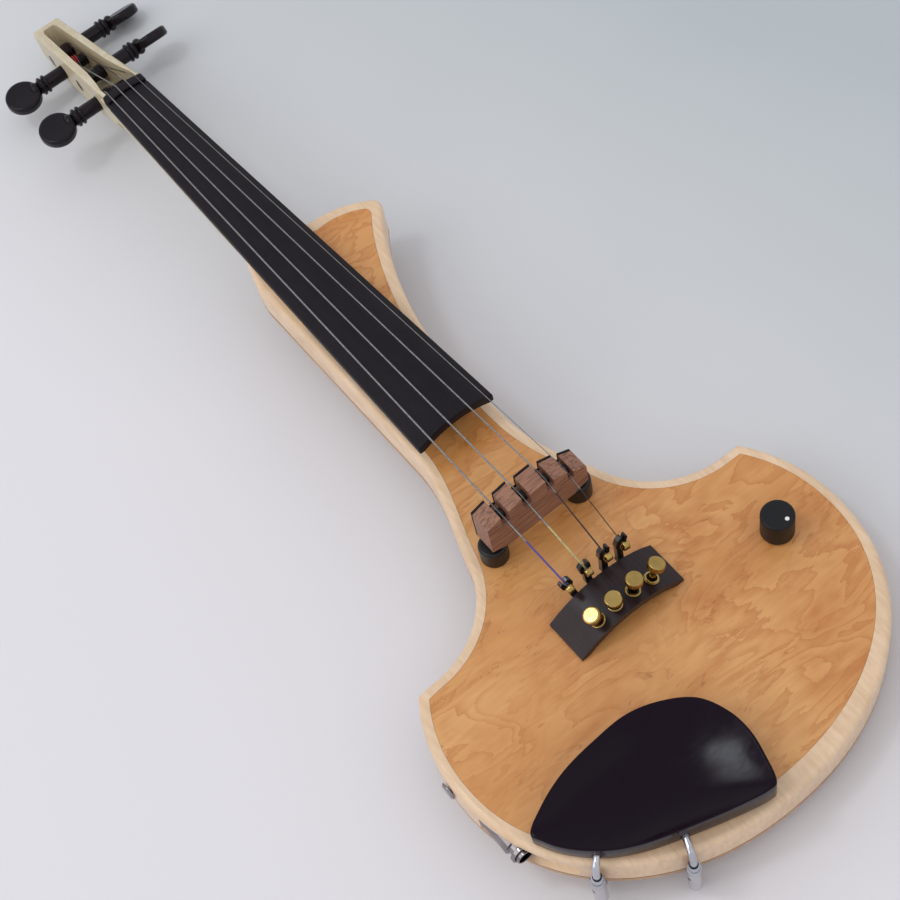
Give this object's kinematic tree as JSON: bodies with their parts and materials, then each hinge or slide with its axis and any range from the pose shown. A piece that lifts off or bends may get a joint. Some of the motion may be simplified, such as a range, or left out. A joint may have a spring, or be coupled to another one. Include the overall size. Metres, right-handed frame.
{
  "type": "electric violin",
  "caption": "Solid-body electric violin: flat laminated body with one treble horn, open tilted pegbox, slotted block bridge, arched tailpiece with fine tuners, side-clamped chinrest.",
  "frame": {"origin": "on the flat back face, on the centre line, under the middle of the bridge", "axes": "+Y along the body from tail to head, +X towards the treble side, +Z out of the top towards the strings"},
  "size_m": [0.2016, 0.585, 0.0882],
  "materials": {
    "maple": "clear satin lacquer on pale maple",
    "back_wood": "clear satin lacquer on a tan back layer",
    "accent_wood": "thin dark seam layer",
    "veneer": "clear lacquer on swirl-figured orange-tan veneer",
    "ebony": "dull oiled ebony",
    "walnut": "oiled walnut",
    "polished_black": "high polish on black wood",
    "black_plastic": "matt black",
    "white_plastic": "white marker dot",
    "black_metal": "black coated metal",
    "gold": "gold plated, bright",
    "chrome": "bright chrome plate",
    "steel": "plain steel",
    "string_steel": "fine wound steel",
    "cork": "pressed cork, brown"
  },
  "bodies": {
    "violin": {"body_core": "maple", "accent_layer": "accent_wood", "back_plate": "back_wood", "top_veneer": "veneer", "cavity_cover": "black_plastic", "cover_screw_1": "steel", "cover_screw_2": "steel", "neck": "maple", "fingerboard": "ebony", "nut": "ebony", "string_g": "string_steel", "string_d": "string_steel", "string_a": "string_steel", "string_e": "string_steel", "bridge_block": "walnut", "bridge_facing": "ebony", "saddle_g": "black_plastic", "saddle_d": "black_plastic", "saddle_a": "black_plastic", "saddle_e": "black_plastic", "tailpiece": "ebony", "tuner_collar_g": "gold", "tuner_collar_d": "gold", "tuner_collar_a": "gold", "tuner_collar_e": "gold", "chinrest_plate": "polished_black", "chinrest_cork": "cork", "clamp_rod_bass": "chrome", "clamp_rod_tail": "chrome", "potentiometer": "steel", "pot_nut": "steel", "output_jack": "chrome", "jack_nut": "chrome", "strap_button": "chrome"},
    "peg_body_g": {"peg_g": "ebony"},
    "peg_body_d": {"peg_d": "ebony"},
    "peg_body_a": {"peg_a": "ebony"},
    "peg_body_e": {"peg_e": "ebony"},
    "tuner_body_g": {"tuner_screw_g": "gold"},
    "lever_body_g": {"tuner_lever_g": "black_metal", "ball_end_g": "gold"},
    "tuner_body_d": {"tuner_screw_d": "gold"},
    "lever_body_d": {"tuner_lever_d": "black_metal", "ball_end_d": "gold"},
    "tuner_body_a": {"tuner_screw_a": "gold"},
    "lever_body_a": {"tuner_lever_a": "black_metal", "ball_end_a": "gold"},
    "tuner_body_e": {"tuner_screw_e": "gold"},
    "lever_body_e": {"tuner_lever_e": "black_metal", "ball_end_e": "gold"},
    "volume_body": {"volume_knob": "black_plastic", "volume_dot": "white_plastic", "pot_shaft": "steel"},
    "foot_body_bass": {"bridge_foot_bass": "black_plastic"},
    "foot_body_treble": {"bridge_foot_treble": "black_plastic"},
    "barrel_body_bass": {"clamp_barrel_bass": "chrome"},
    "barrel_body_tail": {"clamp_barrel_tail": "chrome"},
    "clamp_body": {"clamp_foot": "chrome", "clamp_foot_cork": "cork"}
  },
  "joints": [
    {"name": "peg_turn_g", "type": "hinge", "parent": "violin", "child": "peg_body_g", "pos_m": [0, 0.35005, 0.00269], "axis": [1, 0, 0], "continuous": true},
    {"name": "peg_turn_d", "type": "hinge", "parent": "violin", "child": "peg_body_d", "pos_m": [0, 0.39576, -0.01198], "axis": [1, 0, 0], "continuous": true},
    {"name": "peg_turn_a", "type": "hinge", "parent": "violin", "child": "peg_body_a", "pos_m": [0, 0.41191, -0.01717], "axis": [1, 0, 0], "continuous": true},
    {"name": "peg_turn_e", "type": "hinge", "parent": "violin", "child": "peg_body_e", "pos_m": [0, 0.3748, -0.00525], "axis": [1, 0, 0], "continuous": true},
    {"name": "tuner_turn_g", "type": "hinge", "parent": "violin", "child": "tuner_body_g", "pos_m": [-0.0129, -0.0549, 0.03229], "axis": [-0.3035, 0, 0.9528], "range_deg": [-90, 540]},
    {"name": "lever_swing_g", "type": "hinge", "parent": "violin", "child": "lever_body_g", "pos_m": [-0.01119, -0.043, 0.02691], "axis": [0.9528, 0, 0.3035], "range_deg": [-0.7, 4]},
    {"name": "tuner_turn_d", "type": "hinge", "parent": "violin", "child": "tuner_body_d", "pos_m": [-0.0037, -0.0549, 0.03414], "axis": [-0.0871, 0, 0.9962], "range_deg": [-90, 540]},
    {"name": "lever_swing_d", "type": "hinge", "parent": "violin", "child": "lever_body_d", "pos_m": [-0.00321, -0.043, 0.02851], "axis": [0.9962, 0, 0.0871], "range_deg": [-0.7, 4]},
    {"name": "tuner_turn_a", "type": "hinge", "parent": "violin", "child": "tuner_body_a", "pos_m": [0.0058, -0.0549, 0.0339], "axis": [0.1365, 0, 0.9906], "range_deg": [-90, 540]},
    {"name": "lever_swing_a", "type": "hinge", "parent": "violin", "child": "lever_body_a", "pos_m": [0.00503, -0.043, 0.02831], "axis": [0.9906, 0, -0.1365], "range_deg": [-0.7, 4]},
    {"name": "tuner_turn_e", "type": "hinge", "parent": "violin", "child": "tuner_body_e", "pos_m": [0.0152, -0.0549, 0.03149], "axis": [0.3576, 0, 0.9339], "range_deg": [-90, 540]},
    {"name": "lever_swing_e", "type": "hinge", "parent": "violin", "child": "lever_body_e", "pos_m": [0.01318, -0.043, 0.02621], "axis": [0.9339, 0, -0.3576], "range_deg": [-0.7, 4]},
    {"name": "volume_turn", "type": "hinge", "parent": "violin", "child": "volume_body", "pos_m": [0.0704, -0.0694, 0.03], "axis": [0, 0, 1], "range_deg": [-150, 150]},
    {"name": "bridge_foot_turn_bass", "type": "hinge", "parent": "violin", "child": "foot_body_bass", "pos_m": [-0.0237, 0, 0.028], "axis": [0, 0, 1], "continuous": true},
    {"name": "bridge_foot_turn_treble", "type": "hinge", "parent": "violin", "child": "foot_body_treble", "pos_m": [0.0215, 0, 0.028], "axis": [0, 0, 1], "continuous": true},
    {"name": "barrel_turn_bass", "type": "hinge", "parent": "violin", "child": "barrel_body_bass", "pos_m": [-0.07939, -0.132, 0.009], "axis": [0, 0, 1], "range_deg": [0, 1083]},
    {"name": "barrel_turn_tail", "type": "hinge", "parent": "violin", "child": "barrel_body_tail", "pos_m": [-0.04828, -0.15199, 0.009], "axis": [0, 0, 1], "range_deg": [0, 1083]},
    {"name": "clamp_slide", "type": "slide", "parent": "violin", "child": "clamp_body", "axis": [0, 0, 1], "range_m": [-0.0042, 0]}
  ],
  "couplings": [
    {"joint": "lever_swing_g", "follows": "tuner_turn_g", "ratio": 0.00698},
    {"joint": "lever_swing_d", "follows": "tuner_turn_d", "ratio": 0.00698},
    {"joint": "lever_swing_a", "follows": "tuner_turn_a", "ratio": 0.00698},
    {"joint": "lever_swing_e", "follows": "tuner_turn_e", "ratio": 0.00698},
    {"joint": "barrel_turn_bass", "follows": "clamp_slide", "rad_per_m": -4488},
    {"joint": "barrel_turn_tail", "follows": "clamp_slide", "rad_per_m": -4488}
  ]
}
